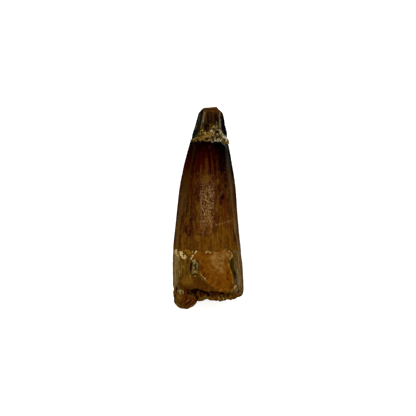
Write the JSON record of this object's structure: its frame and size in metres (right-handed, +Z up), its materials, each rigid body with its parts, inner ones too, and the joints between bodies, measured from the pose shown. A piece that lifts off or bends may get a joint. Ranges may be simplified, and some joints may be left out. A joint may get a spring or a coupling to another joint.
{
  "type": "fossil spinosaurus tooth",
  "caption": "Conical fossil tooth with its root end, snapped below the tip and mended with a sandy crust, lying on its flatter side.",
  "frame": {"origin": "middle of the surface the tooth lies on, under the middle of the whole", "axes": "+Y along the tooth towards its tip, +X across it, +Z up from the surface it lies on"},
  "size_m": [0.0234, 0.0668, 0.0203],
  "materials": {
    "tooth": "semi-gloss brown fossil enamel, dark red-brown near the break and golden brown below, over a duller ochre root",
    "tip": "satin dark brown bare dentine between flanks of near-black enamel",
    "sand": "matt yellow sandstone grains in a crust"
  },
  "bodies": {
    "root": {"tooth": "tooth", "tip": "tip", "sand_band": "sand"}
  },
  "joints": []
}
